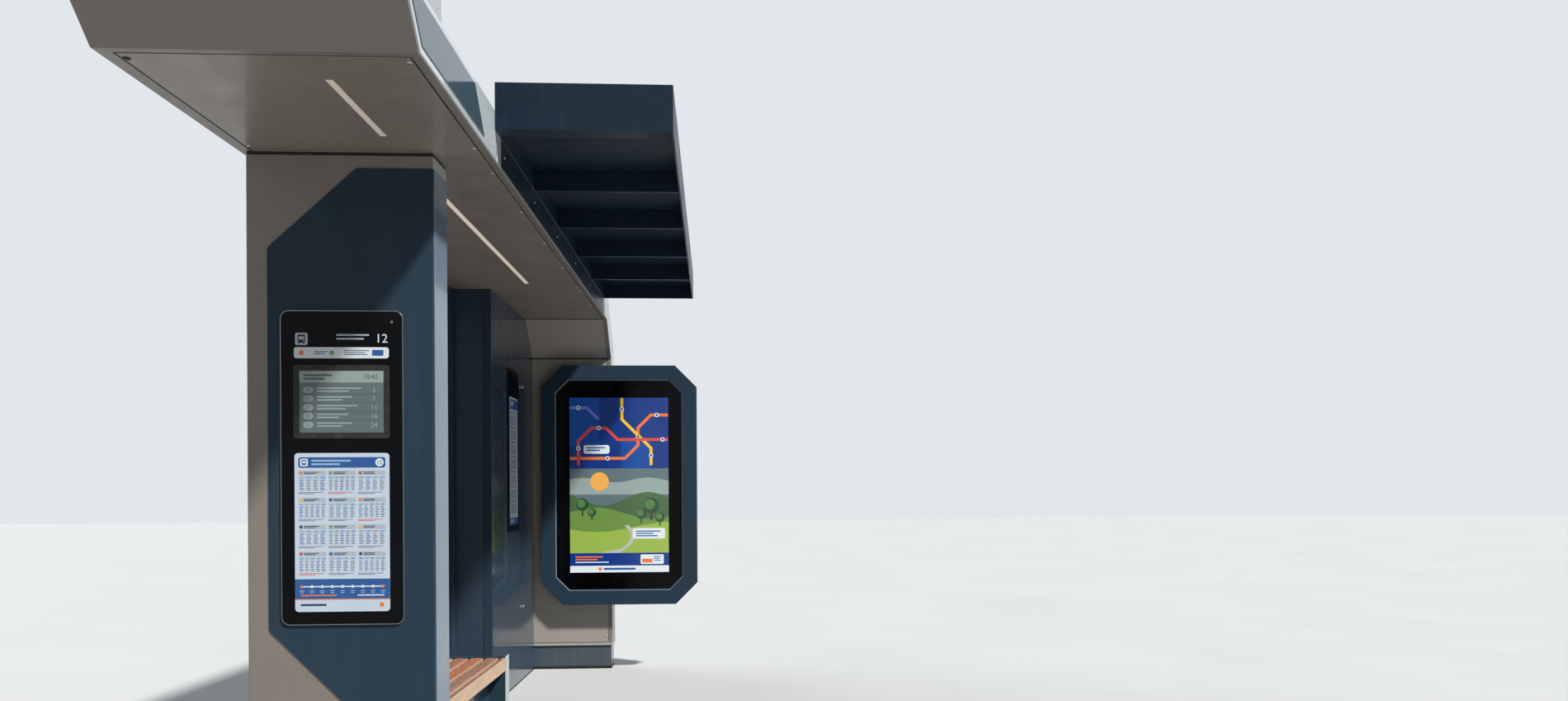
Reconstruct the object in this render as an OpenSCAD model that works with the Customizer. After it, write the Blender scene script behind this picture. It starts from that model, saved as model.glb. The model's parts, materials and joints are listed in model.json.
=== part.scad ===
// Bus shelter: a bent ribbon of canopy and end wall on one broad column,
// with a ribbed awning over the kerb, a bench, a cabinet and a display.
// Millimetres. X runs to the road, Y along the street, Z up.
// The origin is the middle of the footprint at ground level.
// Inside the modules, X starts at the canopy rear edge and Y at the column near face.

/* [Canopy] */
// Height of the soffit above the lowest ground
soffit_height = 2410; // [2200:5:2800]
// Canopy size across the pavement, rear edge to road edge
canopy_depth = 847; // [700:1:1400]
// Thickness of the canopy and of the end wall
ribbon_thickness = 170; // [120:1:260]
// Soffit length in front of the column
near_overhang = 830; // [500:5:1500]
// Column near face to the foot of the end chamfer
bay_length = 3490; // [2800:5:6000]
// Size of the 45 degree chamfers at both ends
end_chamfer = 236; // [120:1:320]
// Thickness of the folded sheet
sheet = 4; // [2:0.5:6]
// Height of the roof riser above the canopy top
riser_height = 300; // [150:5:600]
// Rear face of the roof riser, measured from the soffit near edge
riser_back = 228; // [150:1:400]

/* [Lining panels] */
// Frame width along the road edge
frame_road = 27; // [20:1:60]
// Frame width along the rear edge
frame_rear = 42; // [20:1:80]
// Frame width at the near end
frame_near = 26; // [15:1:60]
// Shadow gap beside the panels
shadow_gap = 6; // [3:0.5:12]
// Hairline joint between two panels
hairline = 2; // [1:0.5:5]
// Overlap of each panel's backing on the frame
lip = 10; // [6:1:20]
// Thickness of each panel's backing
backing = 2; // [1:0.5:4]

/* [Light strips] */
// Width of the light strips
light_width = 22; // [12:1:60]
// Centre of the light strips from the rear edge
light_centre = 541; // [200:1:700]
// Clearance round each light strip
light_gap = 1; // [0.5:0.5:3]
// How far a strip stands below the soffit
light_proud = 1; // [0.5:0.5:4]
// Length of the near light strip
light_near_length = 470; // [200:5:600]
// Distance from the near strip to the column
light_near_back = 167; // [60:1:200]
// Length of the middle light strip
light_middle_length = 1920; // [600:5:2000]
// Distance from the middle strip to the cabinet
light_middle_back = 170; // [60:1:260]

/* [Fascia] */
// Length of the proud fascia panel under the awning's near channel
fascia_lap = 31; // [5:1:70]
// Joint between the fascia panel and its end strip
fascia_joint = 9; // [4:1:20]
// Length of the end strip
fascia_strip = 60; // [20:1:120]
// Thickness of the proud fascia panel
fascia_thickness = 6; // [3:0.5:12]
// Margin round the dark sign glass
sign_margin = 21; // [10:1:40]
// Distance from the sign's far lower corner to the column
sign_before_column = 112; // [20:1:400]
// Thickness of the sign glass
sign_thickness = 3; // [2:0.5:6]

/* [Column] */
// Column width across the pavement
column_width = 631; // [560:1:760]
// Column thickness along the street
column_thickness = 170; // [120:1:300]
// Column offset from the canopy rear edge
column_offset = 23; // [10:1:60]
// Radius of the column's upright edges
column_radius = 7; // [3:0.5:20]
// Height of the shadow gap under the soffit
head_gap = 12; // [6:1:30]
// Setback of the neck in that gap
head_inset = 14; // [6:1:30]
// Thickness of the base plate
base_plate = 10; // [6:1:20]
// Thickness of the dark cladding sheet
cladding = 3; // [2:0.5:6]
// Plain margin left of the cladding
cladding_margin = 72; // [20:1:100]
// Plain margin above the cladding
cladding_top = 55; // [20:1:140]
// Height of the cladding lower edge
cladding_low = 470; // [150:5:700]
// Width of the cladding corner cuts
cladding_cut = 300; // [150:5:400]
// Height of the upper corner cut
cladding_cut_top = 275; // [150:5:400]
// Height of the lower corner cut
cladding_cut_low = 300; // [150:5:400]
// Rounding of the cladding outline
cladding_radius = 24; // [5:1:40]

/* [Passenger information] */
// Width of the black glass
info_width = 407; // [350:1:440]
// Height of the black glass
info_height = 1070; // [960:5:1150]
// Height of its lower edge
info_low = 792; // [760:1:820]
// Left edge of the glass from the column left edge
info_offset = 119; // [90:1:150]
// Thickness of the glass
info_thickness = 8; // [5:1:12]
// Corner radius of the glass
info_radius = 26; // [10:1:50]
// Width of the light trim line
info_trim_width = 3; // [2:0.5:6]
// Thickness of the printed and electronic sheets
sheet_film = 1.5; // [1:0.5:3]
// Width of the electronic paper screen
epaper_width = 282; // [200:1:320]
// Height of the electronic paper screen
epaper_height = 211; // [150:1:230]
// Height of its lower edge above the glass lower edge
epaper_up = 655; // [640:1:700]
// Width of the timetable sheet
timetable_width = 318; // [200:1:330]
// Height of the timetable sheet
timetable_height = 542; // [400:1:570]
// Height of its lower edge above the glass lower edge
timetable_up = 43; // [30:1:60]
// Corner radius of the timetable sheet
timetable_radius = 12; // [4:1:20]

/* [Bench] */
// Height of the seat
seat_height = 470; // [420:1:500]
// Length of the wooden seat
seat_length = 1080; // [700:5:1600]
// Number of slats from front to back
slat_count = 6; // [4:1:6]
// Width of one slat
slat_width = 56; // [40:1:62]
// Gap between slats
slat_gap = 14; // [6:1:20]
// Thickness of the slats
slat_thickness = 30; // [20:1:45]
// Thickness of the front board
front_board = 18; // [12:1:30]
// Height of the front board
front_board_height = 64; // [50:1:100]
// Front edge of the seat from the canopy rear edge
seat_front = 623; // [600:1:660]
// Thickness of the end plates
end_plate = 20; // [10:1:30]
// Height of the end plates above the seat
end_plate_up = 6; // [2:1:20]
// Setback of the apron behind the front board
apron_setback = 62; // [30:1:90]
// Thickness of the apron and of the seat tray
tray = 6; // [3:1:10]

/* [Back wall] */
// Size of the frame posts across the pavement
post_depth = 94; // [60:1:120]
// Size of the frame posts along the street
post_width = 60; // [40:1:90]
// Height of the top and bottom rails
rail_height = 70; // [50:1:120]
// Gap under the bottom rail
rail_clear = 110; // [60:5:250]
// Thickness of the back glass
glass_thickness = 12; // [8:1:16]
// Depth of the glass in its frame
glass_bite = 15; // [8:1:30]

/* [Cabinet] */
// Cabinet size across the pavement
cabinet_depth = 301; // [240:1:400]
// Cabinet size along the street
cabinet_length = 1285; // [1150:5:1500]
// Width of the near corner trim
corner_trim = 46; // [30:1:70]
// Thickness of the near corner trim
trim_thickness = 3; // [2:0.5:6]
// Length of the black notice glass
notice_length = 322; // [260:1:360]
// Height of the black notice glass
notice_height = 1022; // [900:2:1200]
// Height of its lower edge
notice_low = 990; // [700:5:1000]
// Near edge of the glass from the cabinet near face
notice_offset = 441; // [200:5:520]
// Thickness of the notice glass
notice_thickness = 6; // [4:1:10]
// Width of the printed notice
notice_sheet_width = 240; // [150:1:250]
// Margin under the printed notice
notice_margin_low = 45; // [20:1:80]
// Margin above the printed notice
notice_margin_top = 175; // [40:1:300]
// Diameter of the lock knobs
knob_diameter = 24; // [15:1:40]
// Projection of the lock knobs
knob_reach = 12; // [6:1:20]
// Distance of the knobs beyond the notice glass
knob_offset = 125; // [60:1:180]
// Height of the lower knob
knob_low = 483; // [300:1:700]
// Height of the upper knob
knob_high = 1935; // [1500:5:2000]

/* [End wall] */
// Height of the plinth
plinth_height = 165; // [100:5:300]
// Setback of the plinth faces
plinth_inset = 8; // [4:1:20]
// Height of the ledge over the plinth
ledge_height = 16; // [8:1:40]
// Corner radius of the wall panel's foot
panel_radius = 22; // [5:1:40]

/* [Display] */
// Overall width of the display
display_width = 1075; // [900:5:1200]
// Overall height of the display
display_height = 1658; // [1500:2:1700]
// Distance from the soffit down to its upper edge
display_drop = 295; // [280:1:400]
// Projection of the display past the canopy road edge
display_reach = 600; // [500:5:640]
// Depth of the display from the wall to its face
display_depth = 90; // [60:1:160]
// Width of the painted surround
display_ring = 98; // [80:1:120]
// Thickness of the painted surround
ring_thickness = 14; // [8:1:25]
// Setback of the glass in the surround
glass_setback = 4; // [2:0.5:8]
// Size of the corner cuts
display_cut = 150; // [110:1:200]
// Width of the screen
screen_width = 680; // [600:1:760]
// Height of the screen
screen_height = 1210; // [1100:1:1300]
// Wall of the display housing
housing_wall = 3; // [2:0.5:6]

/* [Awning] */
// Reach of the awning past the canopy road edge
awning_reach = 630; // [400:5:1000]
// Narrowing of the awning at its far end
awning_taper = 38; // [0:1:120]
// Near edge of the awning from the column near face
awning_start = 54; // [0:1:400]
// Length of the awning along the street
awning_length = 3229; // [2600:1:3400]
// Height of its underside above the soffit
awning_lift = 104; // [60:1:160]
// Height of the edge plates
edge_height = 165; // [120:1:220]
// Thickness of the edge plates
edge_plate = 8; // [5:0.5:14]
// Depth of the near channel's flanges
channel_depth = 80; // [50:1:140]
// Length of the drain notch in the near channel's lower flange
drain_notch = 94; // [40:1:160]
// Number of ribs between the near channel and the far plate
rib_count = 4; // [2:1:5]
// Distance from one rib to the next
rib_pitch = 616; // [400:1:620]
// Thickness of each rib
rib_width = 16; // [8:1:40]
// Height of each rib
rib_height = 86; // [60:1:110]
// Thickness of the roof sheet
roof_sheet = 5; // [3:1:10]

/* [Hidden] */
$fn = 32;
overlap = 1;
z_s = soffit_height;
z_t = z_s + ribbon_thickness;
z_r = z_t + riser_height;
z_foot = z_s - end_chamfer;
z_ledge = plinth_height + ledge_height;
y_near = -near_overhang;
y_front = y_near - end_chamfer;
y_foot = bay_length;
y_wall = bay_length + end_chamfer;
y_end = y_wall + ribbon_thickness;
y_riser = y_near + riser_back;
// run of the outer chamfer, which is parallel to the inner one
outer_run = ribbon_thickness * (sqrt(2) - 1);
x_awning = canopy_depth + awning_reach;
x_mid = x_awning / 2;
y_mid = (y_front + y_end) / 2;
x_col0 = column_offset;
x_col1 = column_offset + column_width;
y_cab = y_wall - cabinet_length;
x_in0 = frame_rear;
x_in1 = canopy_depth - frame_road;
y_in0 = y_near + frame_near;
x_info = x_col0 + info_offset;
y_info = -cladding - info_thickness;
z_epaper = info_low + epaper_up;
z_timetable = info_low + timetable_up;
slat_pitch = slat_width + slat_gap;
seat_back = seat_front - front_board - slat_count * slat_pitch;
y_seat0 = column_thickness + end_plate;
y_seat1 = y_seat0 + seat_length;
y_post1 = y_cab - post_width;
y_notice = y_cab + notice_offset;
x_disp1 = canopy_depth + display_reach;
x_disp0 = x_disp1 - display_width;
x_disp = (x_disp0 + x_disp1) / 2;
display_low = z_s - display_drop - display_height;
z_disp = display_low + display_height / 2;
y_face = y_wall - display_depth;
y_housing = y_face + ring_thickness;
glass_cut = display_cut - display_ring * (2 - sqrt(2));
light_near_end = -light_near_back;
light_middle_end = y_cab - light_middle_back;
y_fascia = awning_start + fascia_lap;
z_aw = z_s + awning_lift;
z_roof = z_aw + rib_height;
y_chan1 = awning_start + channel_depth;
y_aw1 = awning_start + awning_length;
y_far0 = y_aw1 - edge_plate;
x_aw0 = canopy_depth + edge_plate;
x_chan0 = canopy_depth + fascia_thickness;

// moves a piece from the column corner frame to the footprint frame
module placed() translate([-x_mid, -y_mid, 0]) children();

module block(p0, p1) translate(p0) cube(p1 - p0);

// extrudes an outline in (Y, Z) across the pavement
module across(x0, x1) translate([x0, 0, 0]) rotate([90, 0, 90]) linear_extrude(height = x1 - x0) children();

// extrudes an outline in (X, Z) along the street
module along(y0, y1) translate([0, y1, 0]) rotate([90, 0, 0]) linear_extrude(height = y1 - y0) children();

// extrudes an outline in (X, Y) upwards
module upright(z0, z1) translate([0, 0, z0]) linear_extrude(height = z1 - z0) children();

module round_rect(w, h, r) translate([r, r]) offset(r = r) square([w - 2 * r, h - 2 * r]);

// outline with four equal corner cuts
module cut_rect(w, h, c) polygon([[c, 0], [w - c, 0], [w, c], [w, h - c], [w - c, h], [c, h], [0, h - c], [0, c]]);

// A slab that lines the ribbon's inner face from p to q in (Y, Z).
// t0 and t1 are measured from that face into the shell.
module lining(p, q, x0, x1, t0, t1) {
  d = (q - p) / norm(q - p);
  n = [-d[1], d[0]];
  across(x0, x1) polygon([p + t0 * n, q + t0 * n, q + t1 * n, p + t1 * n]);
}

// A lining panel: a flush pan between shadow gaps, and a backing that lies on the frame
module lining_panel(p, q, end_p, end_q) {
  d = (q - p) / norm(q - p);
  lining(p + end_p * d, q - end_q * d, x_in0 + shadow_gap, x_in1 - shadow_gap, 0, sheet);
  lining(p, q, x_in0 - lip, x_in1 + lip, sheet, sheet + backing);
}

module canopy_outline() polygon([[y_near, z_s], [y_foot, z_s], [y_foot, z_t], [y_riser, z_t],
  [y_riser, z_r], [y_front, z_r], [y_front, z_s + end_chamfer]]);

module canopy_shell() color("#857d76") placed() difference() {
  across(0, canopy_depth) canopy_outline();
  across(sheet, canopy_depth - sheet) offset(delta = -sheet) canopy_outline();
  block([x_in0, y_in0, z_s - overlap], [x_in1, y_foot - sheet, z_s + sheet + overlap]);
}

module light_slot(y0, y1) block([light_centre - light_width / 2, y0, z_s - overlap],
  [light_centre + light_width / 2, y1, z_s + sheet]);

module light_bar(y0, y1) block([light_centre - light_width / 2 + light_gap, y0 + light_gap, z_s - light_proud],
  [light_centre + light_width / 2 - light_gap, y1 - light_gap, z_s + sheet]);

module soffit_panel_near() color("#8d867e") placed() difference() {
  lining_panel([y_in0 - lip, z_s], [0, z_s], lip + shadow_gap, hairline / 2);
  light_slot(light_near_end - light_near_length, light_near_end);
}

module soffit_panel_column() color("#8d867e") placed()
  lining_panel([0, z_s], [column_thickness, z_s], hairline / 2, hairline / 2);

module soffit_panel_middle() color("#8d867e") placed() difference() {
  lining_panel([column_thickness, z_s], [y_cab, z_s], hairline / 2, hairline / 2);
  light_slot(light_middle_end - light_middle_length, light_middle_end);
}

module soffit_panel_far() color("#8d867e") placed()
  lining_panel([y_cab, z_s], [y_foot - sheet, z_s], hairline / 2, 0);

module soffit_light_near() color("#f7f4ea") placed()
  light_bar(light_near_end - light_near_length, light_near_end);

module soffit_light_middle() color("#f7f4ea") placed()
  light_bar(light_middle_end - light_middle_length, light_middle_end);

// the panel with the slanted end, and a short strip under the awning
module fascia_panel() color("#a8acac") placed() across(canopy_depth, canopy_depth + fascia_thickness) {
  polygon([[y_near, z_s], [y_fascia, z_s], [y_fascia, z_t], [y_near - ribbon_thickness, z_t]]);
  translate([y_fascia + fascia_joint, z_s]) square([fascia_strip, awning_lift]);
}

// a parallelogram whose slanted ends follow the near end of the canopy
module fascia_sign() color("#23262b") placed()
  across(canopy_depth + fascia_thickness, canopy_depth + fascia_thickness + sign_thickness) polygon([
    [y_near + sign_margin * (sqrt(2) - 1), z_s + sign_margin],
    [-sign_before_column, z_s + sign_margin],
    [-sign_before_column - (ribbon_thickness - 2 * sign_margin), z_t - sign_margin],
    [y_near + sign_margin * (sqrt(2) - 1) - (ribbon_thickness - 2 * sign_margin), z_t - sign_margin]]);

module column_plan(grow) translate([x_col0, 0]) offset(r = column_radius + grow) offset(delta = -column_radius)
  square([column_width, column_thickness]);

module near_column() color("#857d76") placed() difference() {
  union() {
    upright(0, z_s - head_gap) column_plan(0);
    upright(z_s - head_gap, z_s) offset(delta = -head_inset) column_plan(0);
  }
  upright(base_plate, z_s + overlap) offset(delta = -head_inset - sheet) column_plan(0);
}

module cladding_outline() {
  w = column_width - cladding_margin + cladding;
  h = z_s - cladding_top - cladding_low;
  translate([x_col0 + cladding_margin, cladding_low]) offset(r = cladding_radius) offset(delta = -cladding_radius)
    polygon([[cladding_cut, 0], [w + cladding_radius, 0], [w + cladding_radius, h],
      [cladding_cut, h], [0, h - cladding_cut_top], [0, cladding_cut_low]]);
}

// a sheet on the near face that wraps round the upright edge onto the road face
module column_cladding() color("#1f2a36") placed() intersection() {
  along(-cladding, column_thickness) cladding_outline();
  upright(0, z_s) difference() {
    column_plan(cladding);
    column_plan(0);
    translate([x_col0 - cladding, column_thickness]) square([column_width + 2 * cladding, 2 * cladding]);
    translate([x_col0 - cladding - overlap, 0]) square([cladding_margin, column_thickness]);
  }
  block([x_col0 + cladding_margin, -cladding, 0], [x_col1 + cladding, column_thickness, z_s]);
}

module info_glass() color("#0b0c0e") placed() along(y_info, -cladding)
  translate([x_info, info_low]) round_rect(info_width, info_height, info_radius);

module info_trim() color("#9aa3a8") placed() along(-cladding - info_thickness * 0.75, -cladding)
  translate([x_info, info_low]) difference() {
    offset(r = info_trim_width) round_rect(info_width, info_height, info_radius);
    round_rect(info_width, info_height, info_radius);
  }

module epaper_screen() color("#c9cbc4") placed() along(y_info - sheet_film, y_info)
  translate([x_info + (info_width - epaper_width) / 2, z_epaper]) square([epaper_width, epaper_height]);

module timetable_sheet() color("#e9e8e2") placed() along(y_info - sheet_film, y_info)
  translate([x_info + (info_width - timetable_width) / 2, z_timetable])
    round_rect(timetable_width, timetable_height, timetable_radius);

module bench_slats() color("#9b6a43") placed() for (i = [0 : slat_count - 1])
  block([seat_back + i * slat_pitch, y_seat0, seat_height - slat_thickness],
    [seat_back + i * slat_pitch + slat_width, y_seat1, seat_height]);

module bench_front_board() color("#8f5f3b") placed()
  block([seat_front - front_board, y_seat0, seat_height - front_board_height], [seat_front, y_seat1, seat_height]);

module bench_end_plates() color("#1f2a36") placed() for (y = [y_seat0 - end_plate, y_seat1])
  block([seat_back, y, 0], [seat_front, y + end_plate, seat_height + end_plate_up]);

// the seat tray under the slats and the upright apron below it
module bench_apron() color("#1f2a36") placed() {
  x1 = seat_front - front_board;
  z1 = seat_height - slat_thickness;
  block([seat_back, y_seat0, z1 - tray], [x1, y_seat1, z1]);
  block([x1 - apron_setback, y_seat0, 0], [x1 - apron_setback + tray, y_seat1, z1 - tray]);
}

module back_pane() block([(post_depth - glass_thickness) / 2, column_thickness + post_width - glass_bite,
    rail_clear + rail_height - glass_bite],
  [(post_depth + glass_thickness) / 2, y_post1 + glass_bite, z_s - rail_height + glass_bite]);

module back_frame() color("#1f2a36") placed() difference() {
  block([0, column_thickness, 0], [post_depth, y_cab, z_s]);
  block([-overlap, column_thickness + post_width, rail_clear + rail_height],
    [post_depth + overlap, y_post1, z_s - rail_height]);
  block([-overlap, column_thickness + post_width, -overlap], [post_depth + overlap, y_post1, rail_clear]);
  back_pane();
}

module back_glass() color("#b9d2d6", 0.35) placed() back_pane();

module cabinet_outline() polygon([[y_cab, 0], [y_wall, 0], [y_wall, z_foot], [y_foot, z_s], [y_cab, z_s]]);

module cabinet_body() color("#4c4d4f") placed() difference() {
  across(0, cabinet_depth) cabinet_outline();
  across(sheet, cabinet_depth - sheet) offset(delta = -sheet) cabinet_outline();
  block([cabinet_depth - sheet - overlap, y_notice + lip, notice_low + lip],
    [cabinet_depth + overlap, y_notice + notice_length - lip, notice_low + notice_height - lip]);
}

module cabinet_corner_trim() color("#3a3f45") placed() upright(0, z_s) polygon([
  [cabinet_depth - corner_trim, y_cab], [cabinet_depth, y_cab], [cabinet_depth, y_cab + corner_trim],
  [cabinet_depth + trim_thickness, y_cab + corner_trim], [cabinet_depth + trim_thickness, y_cab - trim_thickness],
  [cabinet_depth - corner_trim, y_cab - trim_thickness]]);

module cabinet_glass() color("#0b0c0e") placed() block([cabinet_depth, y_notice, notice_low],
  [cabinet_depth + notice_thickness, y_notice + notice_length, notice_low + notice_height]);

module cabinet_sheet() color("#dcdad2") placed() {
  y0 = y_notice + (notice_length - notice_sheet_width) / 2;
  x0 = cabinet_depth + notice_thickness;
  z1 = notice_low + notice_height - notice_margin_top;
  block([x0, y0, notice_low + notice_margin_low], [x0 + sheet_film, y0 + notice_sheet_width, z1]);
}

module cabinet_knobs() color("#d8d8d4") placed() for (z = [knob_low, knob_high])
  translate([cabinet_depth, y_notice + notice_length + knob_offset, z]) rotate([0, 90, 0])
    cylinder(d = knob_diameter, h = knob_reach);

module wall_outline() polygon([[y_foot, z_s], [y_wall, z_foot], [y_wall, plinth_height], [y_end, plinth_height],
  [y_end, z_foot + outer_run], [y_foot + outer_run, z_t], [y_foot, z_t]]);

// opening for the wall panel, with round corners at its foot
module wall_opening(shrink) translate([x_in0 + shrink, z_ledge + shrink]) {
  w = x_in1 - x_in0 - 2 * shrink;
  h = z_foot - z_ledge - 2 * shrink;
  r = panel_radius - shrink / 2;
  translate([r, r]) offset(r = r) square([w - 2 * r, h / 2]);
  translate([0, 2 * r]) square([w, h - 2 * r]);
}

module end_wall_shell() color("#857d76") placed() difference() {
  across(0, canopy_depth) wall_outline();
  across(sheet, canopy_depth - sheet) offset(delta = -sheet) wall_outline();
  lining([y_foot, z_s], [y_wall, z_foot], x_in0, x_in1, -overlap, sheet + overlap);
  along(y_wall - overlap, y_wall + sheet + overlap) wall_opening(0);
}

module chamfer_panel() color("#8d867e") placed()
  lining_panel([y_foot + sheet, z_s - sheet], [y_wall - hairline, z_foot + hairline], 0, 0);

module end_wall_panel() color("#7a736c") placed() {
  along(y_wall, y_wall + sheet) wall_opening(shadow_gap);
  block([x_in0 - lip, y_wall + sheet, z_ledge - lip], [x_in1 + lip, y_wall + sheet + backing, z_foot - lip]);
}

module end_wall_plinth() color("#3b4148") placed() difference() {
  block([plinth_inset, y_wall + plinth_inset, 0],
    [canopy_depth - plinth_inset, y_end - plinth_inset, plinth_height]);
  block([plinth_inset + sheet, y_wall + plinth_inset + sheet, base_plate],
    [canopy_depth - plinth_inset - sheet, y_end - plinth_inset - sheet, plinth_height + overlap]);
}

module display_shape(inset, cut) translate([x_disp0 + inset, display_low + inset])
  cut_rect(display_width - 2 * inset, display_height - 2 * inset, cut);

module display_housing() color("#2a3038") placed() difference() {
  along(y_housing, y_wall) display_shape(0, display_cut);
  along(y_housing + housing_wall, y_wall - housing_wall)
    display_shape(housing_wall, display_cut - housing_wall * (2 - sqrt(2)));
  along(y_housing - overlap, y_housing + housing_wall + overlap) display_shape(display_ring + lip, glass_cut);
}

module display_surround() color("#33404d") placed() along(y_face, y_housing) difference() {
  display_shape(0, display_cut);
  display_shape(display_ring, glass_cut);
}

module display_glass() color("#0b0c0e") placed() along(y_face + glass_setback, y_housing)
  display_shape(display_ring, glass_cut);

module display_screen() color("#c8b49a") placed()
  along(y_face + glass_setback - sheet_film, y_face + glass_setback)
    translate([x_disp - screen_width / 2, z_disp - screen_height / 2]) square([screen_width, screen_height]);

// road edge of the awning at a place along the street
function awning_edge(y) = x_awning - awning_taper * (y - awning_start) / awning_length;

// outline in (X, Y) from x0 to the road edge less inset
module awning_plan(y0, y1, x0, inset) polygon([[x0, y0], [awning_edge(y0) - inset, y0],
  [awning_edge(y1) - inset, y1], [x0, y1]]);

// a channel that opens to the ribs, with a drain notch at its road end
module awning_near_channel() color("#1d222a") placed() difference() {
  upright(z_aw, z_aw + edge_height) awning_plan(awning_start, y_chan1, x_chan0, 0);
  upright(z_aw + edge_plate, z_aw + edge_height - edge_plate)
    awning_plan(awning_start + edge_plate, y_chan1 + overlap, x_chan0 + edge_plate, edge_plate);
  upright(z_aw - overlap, z_aw + edge_plate + overlap) polygon([
    [x_awning - drain_notch, awning_start + edge_plate],
    [awning_edge(awning_start + edge_plate) - edge_plate, awning_start + edge_plate],
    [awning_edge(y_chan1) - edge_plate, y_chan1 + overlap],
    [x_awning - drain_notch, y_chan1 + overlap]]);
}

module awning_far_plate() color("#1d222a") placed() upright(z_aw, z_aw + edge_height)
  awning_plan(y_far0, y_aw1, canopy_depth, 0);

module awning_road_plate() color("#1d222a") placed() {
  upright(z_aw, z_aw + edge_height) polygon([
    [awning_edge(y_chan1) - edge_plate, y_chan1], [awning_edge(y_chan1), y_chan1],
    [awning_edge(y_far0), y_far0], [awning_edge(y_far0) - edge_plate, y_far0]]);
}

module awning_rear_plate() color("#1d222a") placed() block(
  [canopy_depth, y_chan1, z_aw], [x_aw0, y_far0, z_aw + edge_height]);

module awning_ribs() color("#1d222a") placed() for (i = [1 : rib_count]) {
  y0 = y_far0 - i * rib_pitch;
  upright(z_aw, z_roof) awning_plan(y0, y0 + rib_width, x_aw0, edge_plate);
}

module awning_roof() color("#2b3138") placed() upright(z_roof, z_roof + roof_sheet)
  awning_plan(y_chan1, y_far0, x_aw0, edge_plate);

canopy_shell();
soffit_panel_near();
soffit_panel_column();
soffit_panel_middle();
soffit_panel_far();
soffit_light_near();
soffit_light_middle();
fascia_panel();
fascia_sign();
near_column();
column_cladding();
info_glass();
info_trim();
epaper_screen();
timetable_sheet();
bench_slats();
bench_front_board();
bench_end_plates();
bench_apron();
back_frame();
back_glass();
cabinet_body();
cabinet_corner_trim();
cabinet_glass();
cabinet_sheet();
cabinet_knobs();
end_wall_shell();
chamfer_panel();
end_wall_panel();
end_wall_plinth();
display_housing();
display_surround();
display_glass();
display_screen();
awning_near_channel();
awning_far_plate();
awning_road_plate();
awning_rear_plate();
awning_ribs();
awning_roof();
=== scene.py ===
import json
import math

import bmesh
import bpy
from mathutils import Matrix, Vector


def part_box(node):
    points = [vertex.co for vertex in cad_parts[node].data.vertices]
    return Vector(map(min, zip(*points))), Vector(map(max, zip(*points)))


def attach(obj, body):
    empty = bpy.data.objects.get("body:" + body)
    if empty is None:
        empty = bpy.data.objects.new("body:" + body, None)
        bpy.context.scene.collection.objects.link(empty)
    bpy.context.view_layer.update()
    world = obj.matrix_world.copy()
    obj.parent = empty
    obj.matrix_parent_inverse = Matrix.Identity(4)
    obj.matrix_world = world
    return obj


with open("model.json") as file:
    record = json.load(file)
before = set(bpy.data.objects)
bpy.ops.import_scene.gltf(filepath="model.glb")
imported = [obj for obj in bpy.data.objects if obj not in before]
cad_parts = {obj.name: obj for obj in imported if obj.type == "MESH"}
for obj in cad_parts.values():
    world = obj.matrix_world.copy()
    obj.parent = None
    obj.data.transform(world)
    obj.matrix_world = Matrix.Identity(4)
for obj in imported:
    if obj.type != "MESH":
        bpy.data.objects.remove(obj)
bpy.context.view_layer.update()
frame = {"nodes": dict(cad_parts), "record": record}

NODES = frame["nodes"]
SCENE = bpy.context.scene
MM = 0.001

# Camera, fitted to the photograph's straight edges: its place in metres, its turns in degrees
CAMERA_PLACE = (0.9265, -5.078, 1.241)
CAMERA_YAW, CAMERA_PITCH, CAMERA_ROLL = 3.043, -0.091, 0.284
CAMERA_LENS = {"sensor_width": 36.0, "lens": 24.0, "shift_y": 0.0904}

# Directions of the shelter's faces: to the viewer's right, and up
NEAR = ((1, 0, 0), (0, 0, 1))
ROAD = ((0, 1, 0), (0, 0, 1))
FAR = ((-1, 0, 0), (0, 0, 1))
REAR = ((0, -1, 0), (0, 0, 1))
TOP = ((1, 0, 0), (0, 1, 0))
UNDER = ((0, 1, 0), (1, 0, 0))

# Screws, in millimetres: a head's radius, the room between two, and the way in from a panel's side
SCREW_RADIUS = 6.5
SMALL_SCREW_RADIUS = 5.0
SLAT_SCREW_RADIUS = 3.6
SCREW_PITCH = 540.0
SCREW_IN = 26.0

# Lining panels, in millimetres: the shell's lip, the shadow gap, and how deep its dark strip of painted shade
# lies
LIP_IN = 10.0
GAP = 6.0
SHADE_STRIP_DEEP = 2.6

# Thin plates, in millimetres
PLATE_THICK = 2.5
FOLD_DEEP = 60.0
FOLD_THICK = 5.0
LEDGER_LIFT = 8.0
LEDGER_THICK = 4.0

# Half the floor's side in metres, and the colours of the ground and sky
FLOOR_REACH = 40.0
FLOOR_SEEN = ((0.47, 0.485, 0.497, 1), (0.50, 0.515, 0.527, 1))
FLOOR_BOUNCE = (0.30, 0.30, 0.30, 1)
SKY_LIGHT = (0.90, 0.95, 1.0, 1)
SKY_SEEN = (0.80, 0.84, 0.88, 1)
DUST = (0.45, 0.43, 0.40)


def settle(thing, **settings):
    """Sets several properties of a thing."""
    for key, value in settings.items():
        setattr(thing, key, value)
    return thing


def add_object(name, data):
    obj = bpy.data.objects.new(name, data)
    SCENE.collection.objects.link(obj)
    return obj


def fill(tree, node, sockets):
    """Gives a node's sockets plain values or other nodes' outputs."""
    for key, value in sockets.items():
        if isinstance(value, bpy.types.NodeSocket):
            tree.links.new(value, node.inputs[key])
        else:
            node.inputs[key].default_value = value
    return node


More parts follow.
